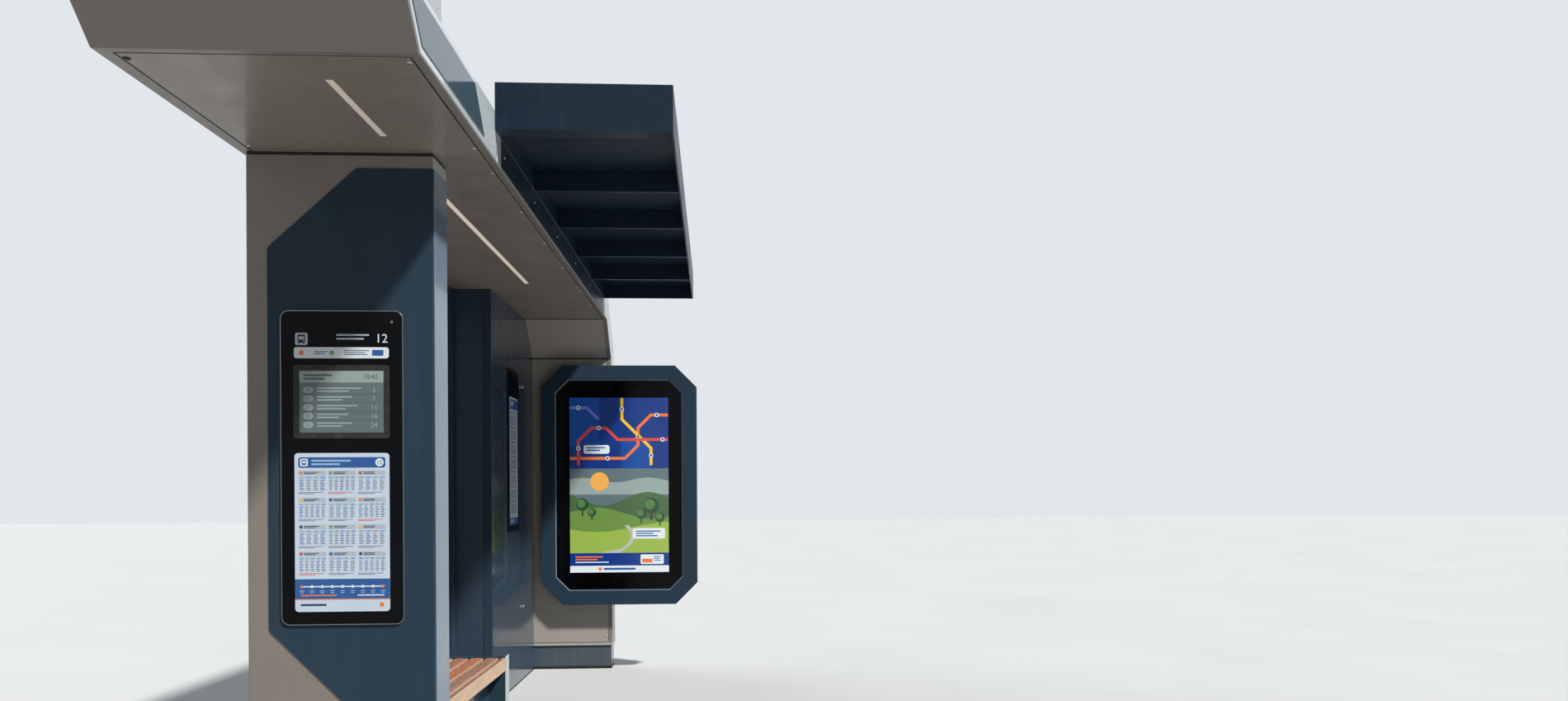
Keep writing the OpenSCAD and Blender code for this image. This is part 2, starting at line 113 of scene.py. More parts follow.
def shader_node(tree, kind, output, sockets=None, **settings):
    """Adds a shader node, and returns one of its outputs."""
    node = settle(tree.nodes.new("ShaderNode" + kind), **settings)
    return fill(tree, node, sockets or {}).outputs[output]


def srgb(red, green, blue):
    """Linear colour of an 8 bit screen colour."""
    def channel(value):
        value /= 255.0
        return value / 12.92 if value <= 0.04045 else ((value + 0.055) / 1.055) ** 2.4
    return channel(red), channel(green), channel(blue), 1.0


def shade(colour, factor, lift=0.0):
    """A lighter or darker colour; lift adds the same to each channel."""
    return tuple(min(1.0, part * factor + lift) for part in colour[:3]) + (1.0,)


# Materials


class Look:
    """A Principled material built from noise on the piece's own coordinates, in metres."""

    MIX_LOW, MIX_HIGH, MIX_RESULT = 6, 7, 2
    EDGE_STARTS, EDGE_FULL = 0.01, 0.16

    def __init__(self, name, **sockets):
        self.mat = settle(bpy.data.materials.new(name), use_nodes=True)
        self.tree = self.mat.node_tree
        self.shader = self.tree.nodes["Principled BSDF"]
        self.set(**sockets)
        self.where = self.node("TexCoord", "Object")
        self.normal = None

    def set(self, **sockets):
        """Sets the shader's own sockets, with _ for the spaces in their names."""
        fill(self.tree, self.shader, {key.replace("_", " "): value for key, value in sockets.items()})

    def node(self, kind, output, sockets=None, **settings):
        return shader_node(self.tree, kind, output, sockets, **settings)

    def noise(self, scale, detail=3.0, rough=0.55, stretch=None, warp=0.0):
        """Noise from 0 to 1, in cycles per metre; stretch scales each axis, for grain."""
        where = self.where
        if stretch:
            where = self.node("Mapping", "Vector", {"Scale": stretch, "Vector": where})
        sockets = {"Scale": scale, "Detail": detail, "Roughness": rough, "Distortion": warp, "Vector": where}
        return self.node("TexNoise", "Fac", sockets)

    def span(self, value, from_low, from_high, to_low=0.0, to_high=1.0):
        """The value moved from one range to another, and kept inside it."""
        sockets = {"Value": value, "From Min": from_low, "From Max": from_high,
                   "To Min": to_low, "To Max": to_high}
        return self.node("MapRange", "Result", sockets, clamp=True)

    def times(self, one, other):
        return self.node("Math", "Value", {0: one, 1: other}, operation="MULTIPLY")

    def blend(self, factor, low, high):
        """Mixes two colours, each a plain one or another node's output."""
        sockets = {"Factor": factor, self.MIX_LOW: low, self.MIX_HIGH: high}
        return self.node("Mix", self.MIX_RESULT, sockets, data_type="RGBA")

    def edges(self, radius):
        """1 along outer and inner edges, 0 on the flats."""
        soft = self.node("Bevel", "Normal", {"Radius": radius}, samples=4)
        flat = self.node("NewGeometry", "Normal")
        match = self.node("VectorMath", "Value", {0: soft, 1: flat}, operation="DOT_PRODUCT")
        return self.span(match, 1.0 - self.EDGE_STARTS, 1.0 - self.EDGE_FULL)

    def facing_road(self):
        """1 on the faces that look to the road, 0 elsewhere."""
        side = self.node("SeparateXYZ", "X", {"Vector": self.node("TexCoord", "Normal")})
        return self.span(side, 0.80, 0.95)

    def bump(self, height, distance, strength):
        """Adds relief; distance is its depth in metres."""
        sockets = {"Strength": strength, "Distance": distance, "Height": height}
        if self.normal:
            sockets["Normal"] = self.normal
        self.normal = self.node("Bump", "Normal", sockets)

    def done(self, colour, rough):
        self.set(Base_Color=colour, Roughness=rough, Normal=self.normal)
        return self.mat


def paint(name, colour, rough=0.42, wear_and_highlight=1.6, dust=0.05, gleam=0.42, rim=0.9, road=None, peel=0.00005):
    """Powder coat: fine texture, faint blotches, streaks of dust, and paler edges that are partly rubbed
    paint and partly a painted highlight.

    wear_and_highlight says how much paler the edges are, as worn paint and as a painted highlight;
    gleam is the gloss seen straight on and rim the gloss at a flat angle, road is the paler colour
    painted on the side that faces the road as painted light, and peel is the depth of the texture in metres.
    """
    look = Look(name, Specular_IOR_Level=gleam, Coat_Roughness=0.06)
    look.set(Coat_Weight=look.times(look.node("LayerWeight", "Facing", {"Blend": 0.35}), rim))
    blotch = look.span(look.noise(2.6, 4.0, 0.6), 0.3, 0.7)
    streak = look.span(look.noise(1.0, 4.0, 0.6, stretch=(22.0, 22.0, 1.6)), 0.52, 0.8)
    speck = look.span(look.noise(620.0, 1.0, 0.5), 0.35, 0.65)
    tone = look.blend(blotch, shade(colour, 0.965), shade(colour, 1.035))
    dusty = tuple(0.85 * part + 0.15 * grey for part, grey in zip(shade(colour, 1.25), DUST)) + (1.0,)
    tone = look.blend(look.times(streak, dust * 2.0), tone, dusty)
    tone = look.blend(0.16, tone, look.blend(speck, shade(colour, 0.9), shade(colour, 1.12)))
    uneven = look.span(look.noise(38.0, 3.0), 0.35, 0.6, 0.25, 0.8)
    # Paler edges: partly worn paint, partly a painted highlight where the edges catch the light.
    tone = look.blend(look.times(look.edges(0.0035), uneven), tone, shade(colour, wear_and_highlight, 0.015))
    # The side that faces the road gets the paler road colour: painted light (painted sunlight on the taupe
    # and the bench steel, a painted reflection on the cladding).
    if road:
        tone = look.blend(look.facing_road(), tone, look.blend(blotch, shade(road, 0.95), road))
    look.bump(look.noise(420.0, 2.0, 0.5), peel, 0.25)
    look.bump(look.noise(1.1, 1.0, 0.4), 0.0012, 0.05)
    gloss = look.span(look.noise(9.0, 4.0, 0.62), 0.3, 0.7, rough - 0.07, rough + 0.09)
    return look.done(tone, gloss)


def bare_metal(name, colour, rough):
    """Brushed metal: fine lines one way, handled patches in the gloss."""
    look = Look(name, Metallic=1.0)
    lines = look.noise(30.0, 4.0, 0.6, stretch=(1.0, 90.0, 90.0))
    patch = look.noise(14.0, 3.0)
    tone = look.blend(look.span(lines, 0.3, 0.7), shade(colour, 0.88), shade(colour, 1.1))
    tone = look.blend(look.times(look.edges(0.002), 0.4), tone, shade(colour, 1.35))
    look.bump(lines, 0.00008, 0.5)
    return look.done(tone, look.span(patch, 0.3, 0.7, rough - 0.08, rough + 0.12))


def dark_glass(name, colour, rough, gleam):
    """Back-painted glass: near black, glossy, with wiped smears and dust."""
    look = Look(name, Specular_IOR_Level=gleam, IOR=1.5)
    smear = look.noise(3.2, 5.0, 0.65, stretch=(1.0, 1.0, 0.45), warp=0.8)
    dust = look.noise(160.0, 2.0, 0.6)
    film = look.times(look.span(smear, 0.45, 0.85), look.span(dust, 0.35, 0.75, 0.3, 1.0))
    tone = look.blend(look.times(film, 0.5), colour, shade(colour, 1.0, 0.012))
    tone = look.blend(look.times(look.edges(0.0025), 0.6), tone, shade(colour, 1.0, 0.10))
    look.bump(look.noise(0.8, 1.0, 0.4), 0.0008, 0.06)
    return look.done(tone, look.span(smear, 0.35, 0.8, rough, rough + 0.12))


def clear_glass(name):
    """Clear float glass: mostly see-through, with a green edge and a light film of dust."""
    look = Look(name, IOR=1.5, Alpha=0.22)
    film = look.noise(2.2, 5.0, 0.7, stretch=(1.0, 1.0, 0.5), warp=0.6)
    tone = look.blend(look.span(film, 0.4, 0.85), (0.05, 0.085, 0.08, 1), (0.16, 0.19, 0.18, 1))
    tone = look.blend(look.edges(0.006), tone, (0.20, 0.44, 0.38, 1))
    look.bump(look.noise(0.9, 1.0), 0.001, 0.05)
    return look.done(tone, look.span(film, 0.4, 0.8, 0.02, 0.08))


def timber(name, warm, grey, front):
    """Oiled hardwood, grain along the street, from warm to grey boards; the road side is painted paler as
    painted sunlight.
    """
    look = Look(name, Specular_IOR_Level=0.45)
    board = look.node("NewGeometry", "Random Per Island")
    rings = look.noise(16.0, 6.0, 0.62, stretch=(5.0, 0.45, 5.0), warp=1.2)
    pores = look.noise(90.0, 3.0, 0.6, stretch=(9.0, 0.5, 9.0))
    patch = look.noise(5.0, 3.0, stretch=(3.0, 0.8, 3.0))
    body = look.blend(look.span(board, 0.2, 0.8), warm, grey)
    body = look.blend(look.times(look.span(patch, 0.45, 0.7), 0.6), body, grey)
    dark = look.blend(look.span(board, 0.0, 1.0), shade(warm, 0.42), shade(grey, 0.38))
    tone = look.blend(look.span(rings, 0.22, 0.62), dark, body)
    tone = look.blend(look.times(look.span(pores, 0.58, 0.72), 0.75), tone, shade(warm, 0.22))
    tone = look.blend(look.times(look.edges(0.004), 0.45), tone, shade(warm, 1.5))
    # The side that faces the road is made paler: painted sunlight.
    painted_sunlit_front = look.blend(look.span(rings, 0.25, 0.6), shade(front, 0.62), front)
    tone = look.blend(look.facing_road(), tone, painted_sunlit_front)
    look.bump(rings, 0.0009, 0.55)
    look.bump(pores, 0.0006, 0.5)
    return look.done(tone, look.span(rings, 0.3, 0.7, 0.42, 0.62))


def ink(name, colour, rough=0.34, glow=0.0):
    """Printed or lit colour with a faint dot texture."""
    look = Look(name, Specular_IOR_Level=0.5, Coat_Weight=0.25, Coat_Roughness=0.08)
    if glow:
        look.set(Emission_Color=colour, Emission_Strength=glow)
    dots = look.noise(900.0, 1.0, 0.5)
    cloud = look.noise(6.0, 3.0)
    tone = look.blend(look.span(dots, 0.35, 0.65), shade(colour, 0.93), shade(colour, 1.06))
    tone = look.blend(look.times(look.span(cloud, 0.4, 0.75), 0.35), tone, shade(colour, 0.86))
    look.bump(dots, 0.00004, 0.4)
    return look.done(tone, look.span(cloud, 0.3, 0.7, rough - 0.06, rough + 0.08))


def ink_set(prefix, colours, **finish):
    """An ink for each name, from 8 bit screen colours."""
    return {name: ink(prefix + name, srgb(*colour), **finish) for name, colour in colours.items()}


def rubber(name):
    """Black rubber or plastic with a little dust."""
    look = Look(name, Specular_IOR_Level=0.35)
    dust = look.noise(45.0, 4.0, 0.65)
    tone = look.blend(look.span(dust, 0.45, 0.8), (0.012, 0.012, 0.013, 1), (0.045, 0.043, 0.04, 1))
    look.bump(look.noise(500.0, 2.0), 0.0003, 0.5)
    return look.done(tone, look.span(dust, 0.3, 0.7, 0.6, 0.8))


def diffuser(name, colour, glow):
    """Milky light strip, dimmed for the day, with a fine prism texture."""
    look = Look(name, Specular_IOR_Level=0.5, Subsurface_Weight=0.15, Subsurface_Radius=(0.004, 0.004, 0.004),
                Emission_Color=(1.0, 0.88, 0.72, 1), Emission_Strength=glow)
    ribs = look.noise(240.0, 1.0, 0.4, stretch=(1.0, 0.06, 1.0))
    film = look.noise(12.0, 3.0)
    tone = look.blend(look.span(film, 0.3, 0.75), colour, shade(colour, 0.86))
    look.bump(ribs, 0.0003, 0.5)
    return look.done(tone, look.span(film, 0.3, 0.7, 0.28, 0.42))


TAUPE = {"colour": srgb(130, 123, 115), "rough": 0.40, "rim": 0.3}
NAVY = {"colour": srgb(44, 62, 77), "rough": 0.30, "wear_and_highlight": 1.9, "gleam": 0.06}
SCREEN = {"rough": 0.2, "glow": 0.2}

# The finish of each material slot in the record
MAT = {
    "ribbon_paint": paint("ribbon_coat", **TAUPE),
    "soffit_paint": paint("soffit_coat", srgb(139, 130, 121), rough=0.36, rim=0.3),
    "fascia_metal": paint("fascia_coat", srgb(196, 206, 210), rough=0.28, wear_and_highlight=1.1),
    "navy_paint": paint("navy_coat", **NAVY),
    "plinth_paint": paint("plinth_coat", srgb(70, 82, 91), rough=0.5, dust=0.25),
    "cabinet_paint": paint("cabinet_coat", srgb(50, 66, 82), rough=0.22, gleam=0.14, peel=0.00001),
    "awning_paint": paint("awning_coat", srgb(22, 39, 54), rough=0.38, wear_and_highlight=2.2, dust=0.08,
                          gleam=0.18, rim=0.0),
    "dark_glass": dark_glass("black_glass", srgb(5, 6, 8), rough=0.07, gleam=0.09),
    "clear_glass": clear_glass("float_glass"),
    "light_diffuser": diffuser("strip_diffuser", srgb(226, 218, 202), glow=0.16),
    "epaper": ink("epaper_ground", srgb(88, 104, 105), rough=0.5),
    "printed_sheet": ink("sheet_ground", srgb(200, 216, 232)),
    "screen": ink("screen_blue", srgb(8, 74, 158), **SCREEN),
    "timber": timber("oiled_timber", srgb(164, 100, 64), srgb(136, 108, 94), srgb(206, 176, 148)),
    "bare_metal": bare_metal("brushed_metal", srgb(128, 134, 138), rough=0.30),
}

# Finishes that only some nodes or pieces have
# Taupe whose road side is painted paler: painted sunlight on that side.
TAUPE_PAINTED_SUNLIT_ROAD = paint("ribbon_coat_road", road=srgb(172, 177, 179), **TAUPE)
# The bench plates' road side is painted pale: painted sunlight on that side.
BENCH_STEEL = paint("bench_coat", road=srgb(172, 184, 186), **NAVY)
# The cladding's road side is painted pale: a painted reflection of the bright sheen on that side.
CLADDING = paint("cladding_coat", road=srgb(112, 129, 144), **NAVY)
# A lighter copy of the lining for the end wall's panels: painted light that makes up for the shade they stand
# in.
LINING = paint("wall_lining_coat", srgb(166, 160, 151), rough=0.36, rim=0.3)
LEDGE = paint("ledge_coat", srgb(172, 178, 176), rough=0.35, wear_and_highlight=1.1)
# The display lip's pale tone is a painted highlight along its bevel.
LIP = paint("lip_coat", srgb(92, 108, 122), rough=0.28, wear_and_highlight=1.5)
# A brighter copy of the strip diffuser for the middle strip: its stronger glow is painted light.
MIDDLE_LIGHT = diffuser("strip_diffuser_middle", srgb(226, 212, 190), glow=0.38)
SIGN_GLASS = dark_glass("sign_glass", srgb(66, 86, 98), rough=0.05, gleam=1.0)
# Dark rubber for gaskets and caps, also used as painted shade: dark strips in the shadow gaps, round the
# feet, in the column's neck and in the screw sockets.
RUBBER_AND_PAINTED_SHADE = rubber("gasket_rubber_and_painted_shade")
BEZEL = rubber("bezel_plastic")
SCREW = bare_metal("screw_steel", srgb(186, 184, 180), rough=0.30)
BRONZE = bare_metal("screw_bronze", srgb(112, 92, 76), rough=0.45)

PRINT = ink_set("ink_", {
    "navy": (28, 46, 84), "blue": (24, 82, 152), "sky": (150, 186, 222), "pale": (222, 232, 240),
    "grey": (178, 188, 198), "slate": (92, 104, 124), "red": (204, 66, 56), "orange": (234, 128, 44),
    "yellow": (240, 188, 60), "green": (96, 160, 84),
})
EPAPER = ink_set("epaper_", {"dark": (58, 72, 74), "light": (146, 162, 160)}, rough=0.5)
LIT = ink_set("lit_", {
    "deep": (6, 52, 130), "blue": (16, 92, 172), "lime": (152, 184, 78), "leaf": (108, 144, 68),
    "moss": (74, 104, 66), "pine": (38, 78, 54), "grass": (84, 128, 70), "bark": (70, 58, 48),
    "dusk": (96, 116, 122), "haze": (150, 168, 166), "sun": (244, 178, 84), "yellow": (248, 196, 50),
    "orange": (240, 120, 52), "red": (216, 74, 66), "violet": (108, 116, 216),
    "white": (226, 234, 238), "road": (186, 190, 186),
}, **SCREEN)


# Outlines and places, in millimetres


def arc(centre, radius, start, stop, steps):
    """Points on a circle, with the angles in degrees."""
    turn = [math.radians(start + (stop - start) * i / steps) for i in range(steps + 1)]
    return [(centre[0] + radius * math.cos(t), centre[1] + radius * math.sin(t)) for t in turn]


def disc(centre, radius, steps=24):
    return arc(centre, radius, 0, 360, steps)[:-1]


def oblong(left, low, width, height, radius=0.0):
    """A rectangle, with round corners if radius is given."""
    if not radius:
        return [(left, low), (left + width, low), (left + width, low + height), (left, low + height)]
    right, top = left + width - radius, low + height - radius
    left, low = left + radius, low + radius
    return (arc((right, low), radius, -90, 0, 4) + arc((right, top), radius, 0, 90, 4)
            + arc((left, top), radius, 90, 180, 4) + arc((left, low), radius, 180, 270, 4))


def inset(wide, tall, edge, radius=0.0):
    """A rectangle that lies this far inside one from (0, 0) to (wide, tall)."""
    return oblong(edge, edge, wide - 2 * edge, tall - 2 * edge, radius)


def cut_oblong(left, low, width, height, cut):
    """A rectangle with its four corners cut off."""
    right, top = left + width, low + height
    return [(left + cut, low), (right - cut, low), (right, low + cut), (right, top - cut),
            (right - cut, top), (left + cut, top), (left, top - cut), (left, low + cut)]


def stroke(points, width):
    """Outline of a line of this width through the points, with mitred corners."""
    sides = ([], [])
    last = len(points) - 1
    for i, point in enumerate(points):
        here = Vector(point)
        before = (here - Vector(points[i - 1])).normalized() if i else None
        after = (Vector(points[i + 1]) - here).normalized() if i < last else None
        before = before or after
        after = after or before
        across = Vector((-before.y - after.y, before.x + after.x)).normalized()
        reach = width / 2 / max(0.4, across.dot(Vector((-before.y, before.x))))
        sides[0].append(tuple(here - across * reach))
        sides[1].append(tuple(here + across * reach))
    return sides[0] + sides[1][::-1]


def hill(wide, low, level, swell, waves, phase, steps=28):
    """A rolling outline: a wavy top over a flat foot."""
    shares = [1 - i / steps for i in range(steps + 1)]
    ridge = [(wide * share, level + swell * math.sin(phase + waves * math.pi * share)) for share in shares]
    return [(0, low), (wide, low)] + ridge


def spread(start, stop, pitch):
    """Even places from start to stop, about a pitch apart."""
    count = max(1, round((stop - start) / pitch))
    return [start + (stop - start) * i / count for i in range(count + 1)]


def ends(name):
    """A CAD node's low and high corners."""
    return [[value / MM for value in end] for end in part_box(name)]


def extent(name):
    """A CAD node's size along each axis."""
    low, high = ends(name)
    return [high[i] - low[i] for i in range(3)]


def vertices(name):
    """A CAD node's vertices."""
    return [v.co / MM for v in NODES[name].data.vertices]


# Pieces


class Piece:
    """Closed solids gathered into one mesh object that rides on the shelter.

    They stand on a flat face, and their points are given to the right and up on it. A layer
    is a solid's foot and top above the face. A material can be the name of one of the
    piece's inks; a solid without one has the finish of the piece's slot.
    """

    # A button head's outline, as shares of its radius: radius and height
    BUTTON_HEAD = ((1.0, 0.0), (1.0, 0.12), (0.92, 0.30), (0.7, 0.45), (0.48, 0.5))

    def __init__(self, name, slot, inks):
        self.name, self.slot, self.inks = name, slot, inks
        self.bm = bmesh.new()
        self.mats = []

    def on(self, origin, way):
        """Goes to the face with this origin and these directions."""
        self.origin = Vector(origin)
        self.right, self.up = [Vector(side) for side in way]
        self.out = self.right.cross(self.up)

    def side(self, name, way):
        """Goes to the lower left corner of a CAD node's side, and returns its width and height."""
        low, high = [Vector(end) for end in ends(name)]
        self.on(low, way)
        for axis in range(3):
            if self.right[axis] < 0 or self.out[axis] > 0:
                self.origin[axis] = high[axis]
        return abs((high - low).dot(self.right)), abs((high - low).dot(self.up))

    def vert(self, right, up, out):
        return self.bm.verts.new((self.origin + self.right * right + self.up * up + self.out * out) * MM)

    def row(self, outline, height):
        return [self.vert(right, up, height) for right, up in outline]

    def index_of(self, mat):
        """The number of a material on this piece."""
        mat = self.inks.get(mat, mat) or MAT[self.slot]
        if mat not in self.mats:
            self.mats.append(mat)
        return self.mats.index(mat)

    def polygon(self, verts, index):
        self.bm.faces.new(verts).material_index = index

    def band(self, one, other, index):
        """Faces all round between two rows of vertices."""
        for i in range(len(one)):
            j = (i + 1) % len(one)
            self.polygon((one[i], one[j], other[j], other[i]), index)

    def slab(self, outline, layer, mat=None):
        """A plate over the outline."""
        index = self.index_of(mat)
        base, top = [self.row(outline, height) for height in layer]
        self.polygon(base[::-1], index)
        self.polygon(top, index)
        self.band(base, top, index)

    def ring(self, outer, inner, layer, mat=None, slope=0.0):
        """A frame between two outlines with as many points; slope lowers its inner edge."""
        index = self.index_of(mat)
        low, high = layer
        corners = ((outer, low), (outer, high), (inner, high - slope), (inner, low))
        rows = [self.row(outline, height) for outline, height in corners]
        for one, other in zip(rows, rows[1:] + rows[:1]):
            self.band(one, other, index)

    def lathe(self, centre, profile, mat, steps=20):
        """A turned solid: profile holds (radius, height) from its foot to its top."""
        index = self.index_of(mat)
        rows = [self.row(disc(centre, radius, steps), height) for radius, height in profile]
        self.polygon(rows[0][::-1], index)
        self.polygon(rows[-1], index)
        for one, other in zip(rows, rows[1:]):
            self.band(one, other, index)

    def screw(self, centre, radius=SCREW_RADIUS, seat=0.0, mat=SCREW):
        """A button head screw whose hexagon socket is a flat black hexagon, painted shade for the hole; seat
        is the height that it sits at.
        """
        self.lathe(centre, [(radius * wide, seat + radius * tall) for wide, tall in self.BUTTON_HEAD], mat)
        # Black hexagon on the head: painted shade standing for the socket's hole.
        self.slab(disc(centre, radius * 0.42, 6), (seat + radius * 0.48, seat + radius * 0.53), RUBBER_AND_PAINTED_SHADE)

    def screwed_plate(self, outline, screws):
        """A thin plate over the outline, with screws at the places given."""
        self.slab(outline, (0, PLATE_THICK))
        for place in screws:
            self.screw(place, SMALL_SCREW_RADIUS, PLATE_THICK)

    def bars(self, left, top, widths, height, gap, layer, mat):
        """Lines that stand for running text, from the top down."""
        for i, width in enumerate(widths):
            low = top - (i + 1) * height - i * gap
            self.slab(oblong(left, low, width, height, height * 0.3), layer, mat)

    def number(self, text, centre, height, layer, mat):
        """Plain figures, centred on a point."""
        low, high = layer
        curve = settle(bpy.data.curves.new("figures", "FONT"), body=text, align_x="CENTER",
                       resolution_u=3, size=height / 0.70, extrude=(high - low) / 2)
        maker = bpy.data.objects.new("figures", curve)
        mesh = bpy.data.meshes.new_from_object(maker)
        made = bmesh.new()
        made.from_mesh(mesh)
        bmesh.ops.remove_doubles(made, verts=made.verts, dist=0.001)
        index = self.index_of(mat)
        left, foot, middle = centre[0], centre[1] - height / 2, (low + high) / 2
        copies = {v.index: self.vert(left + v.co.x, foot + v.co.y, middle + v.co.z) for v in made.verts}
        for old in made.faces:
            self.polygon([copies[v.index] for v in old.verts], index)
        made.free()
        bpy.data.objects.remove(maker)
        bpy.data.meshes.remove(mesh)

    def finish(self, bevel):
        """Makes the mesh object; bevel rounds its edges."""
        bmesh.ops.recalc_face_normals(self.bm, faces=self.bm.faces)
        mesh = bpy.data.meshes.new(self.name)
        self.bm.to_mesh(mesh)
        self.bm.free()
        for mat in self.mats:
            mesh.materials.append(mat)
        obj = add_object(self.name, mesh)
        if bevel:
            soften(obj, bevel, 2)
        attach(obj, "root")


FITTINGS = []


def fitting(slot, bevel=0.0, inks=None):
    """Marks a function that builds the piece of the same name."""
    def note(build):
        FITTINGS.append((build, Piece(build.__name__, slot, inks or {}), bevel))
        return build
    return note


def soften(obj, width, segments):
    """Small round edges on a mesh object."""
    settle(obj.modifiers.new("round_edges", "BEVEL"), width=width * MM, segments=segments,
           limit_method="ANGLE", angle_limit=math.radians(28), use_clamp_overlap=True,
           miter_outer="MITER_ARC")
    settle(obj.modifiers.new("flat_normals", "WEIGHTED_NORMAL"), weight=80, keep_sharp=False)


# The CAD nodes

# Width of the rounded edges in millimetres, their segments, and the nodes that have them
ROUNDED = (
    (4.0, 3, ("bench_slats", "bench_front_board")),
    (3.5, 3, ("canopy_shell",)),
    (3.0, 3, ("end_wall_shell",)),
    (2.5, 3, ("bench_end_plates", "cabinet_knobs", "end_wall_plinth")),
    (2.0, 3, ("back_frame", "cabinet_body", "display_housing", "display_surround")),
    (1.6, 3, ("awning_near_channel", "awning_far_plate", "awning_road_plate")),
    (1.5, 2, ("awning_ribs",)),
    (1.2, 2, ("fascia_panel", "info_glass", "bench_apron", "awning_rear_plate")),
    (1.0, 2, ("end_wall_panel", "near_column", "cabinet_glass", "awning_roof")),
    (1.0, 1, ("back_glass",)),
    (0.9, 2, ("column_cladding", "cabinet_corner_trim")),
    (0.8, 2, ("soffit_panel_near", "soffit_panel_column", "soffit_panel_middle",
              "soffit_panel_far", "chamfer_panel", "fascia_sign", "display_glass")),
    (0.6, 2, ("info_trim", "soffit_light_near", "soffit_light_middle")),
    (0.4, 1, ("epaper_screen", "timetable_sheet", "cabinet_sheet", "display_screen")),
)
EDGES = {name: (width, segments) for width, segments, names in ROUNDED for name in names}

# Nodes whose finish isn't that of their slot; the paler road sides, the lighter wall lining and the brighter
# middle strip among them are painted light
OWN_FINISH = {
    "canopy_shell": TAUPE_PAINTED_SUNLIT_ROAD,
    "end_wall_shell": TAUPE_PAINTED_SUNLIT_ROAD,
    "near_column": TAUPE_PAINTED_SUNLIT_ROAD,
    "column_cladding": CLADDING,
    "fascia_sign": SIGN_GLASS,
    "soffit_light_middle": MIDDLE_LIGHT,
    "chamfer_panel": LINING,
    "end_wall_panel": LINING,
    "bench_end_plates": BENCH_STEEL,
    "cabinet_knobs": SCREW,
}


def dress_nodes():
    """Merges each CAD mesh's faces, rounds its edges and gives it its finish."""
    for part in frame["record"]["subparts"]:
        name = part["node"]
        obj = NODES[name]
        obj.modifiers.new("merge", "WELD").merge_threshold = 0.01 * MM
        flats = obj.modifiers.new("flats", "DECIMATE")
        settle(flats, decimate_type="DISSOLVE", angle_limit=math.radians(0.5))
        soften(obj, *EDGES[name])
        for place in obj.material_slots:
            place.material = OWN_FINISH.get(name, MAT[part["material_slot"]])


# Screws, and dark strips of painted shade in gaps


@fitting("bare_metal")
def panel_screws(piece):
    """Screws along both long edges of the lining panels, and up the end wall's panel."""
    capped = (48, SCREW_IN)
    for name, first, last in (("soffit_panel_near", 48, 50), ("soffit_panel_middle", 56, 56),
                              ("soffit_panel_far", 56, 56)):
        length, width = piece.side(name, UNDER)
        for y in spread(first, length - last, SCREW_PITCH):
            for x in (SCREW_IN, width - SCREW_IN):
                if (y, x) == capped:
                    rubber_cap(piece, capped)
                else:
                    piece.screw((y, x))
    width, tall = piece.side("end_wall_panel", NEAR)
    for z in spread(60, tall - 45, SCREW_PITCH):
        for x in (SCREW_IN, width - SCREW_IN):
            piece.screw((x, z))


def rubber_cap(piece, centre):
    """Dark cap with a dished middle."""
    radius = 10.5
    piece.lathe(centre, [(radius, 0), (radius, 1.2), (radius * 0.86, 2.0), (radius * 0.7, 1.8)], RUBBER_AND_PAINTED_SHADE)


@fitting("bare_metal")
def panel_gap_shade(piece):
    """Dark strips at the bottom of the gaps beside the lining panels: painted shade that darkens the shadow
    gaps.
    """
    width = piece.side("soffit_panel_near", UNDER)[1]
    backing = extent("soffit_panel_near")[2] - extent("soffit_light_near")[2] + 1
    layer = (-backing, -SHADE_STRIP_DEEP)
    length = ends("soffit_panel_far")[1][1] - ends("soffit_panel_near")[0][1] - LIP_IN
    for x in (LIP_IN, width - LIP_IN - GAP):
        piece.slab(oblong(LIP_IN, x, length, GAP), layer, RUBBER_AND_PAINTED_SHADE)
    inner = LIP_IN + GAP
    piece.slab(oblong(LIP_IN, inner, GAP, width - 2 * inner), layer, RUBBER_AND_PAINTED_SHADE)


@fitting("bare_metal")
def column_neck_shade_and_packers(piece):
    """Dark ring in the column's set-back neck, painted shade for its shadow gap, with a dark packer at each
    near corner.
    """
    low = ends("near_column")[0]
    wide, deep, _ = extent("near_column")
    piece.on((low[0], low[1], 0), TOP)
    neck = sorted({round(v.z, 2) for v in vertices("near_column")})[-2:]
    back, thick, packer, packer_in = 2.5, 10.0, 28.0, 6.0
    piece.ring(inset(wide, deep, back, 3), inset(wide, deep, back + thick, 1), neck, RUBBER_AND_PAINTED_SHADE)
    for left in (packer_in, wide - packer_in - packer):
        piece.slab(oblong(left, 0.8, packer, thick), neck, RUBBER_AND_PAINTED_SHADE)


@fitting("plinth_paint")
def foot_shade_and_ledge(piece):
    """Dark bands round the foot of the plinth and cabinet, painted shade for the gap under them, and the pale
    ledge over the plinth.
    """
    proud, inside = 0.8, 1.0
    # Dark bands at the foot: painted shade for the gap under the plinth and cabinet.
    for name, tall in (("end_wall_plinth", 20.0), ("cabinet_body", 9.0)):
        low = ends(name)[0]
        wide, deep, _ = extent(name)
        piece.on((low[0], low[1], 0), TOP)
        piece.ring(inset(wide, deep, -proud), inset(wide, deep, inside), (0, tall), RUBBER_AND_PAINTED_SHADE)
    low, high = ends("end_wall_shell")
    end_in, ledge = 4.0, 15.0
    piece.on((low[0], ends("end_wall_panel")[0][1], low[2]), NEAR)
    piece.slab(oblong(end_in, 0.6, high[0] - low[0] - 2 * end_in, ledge), (0, 1.5), LEDGE)


# Prints


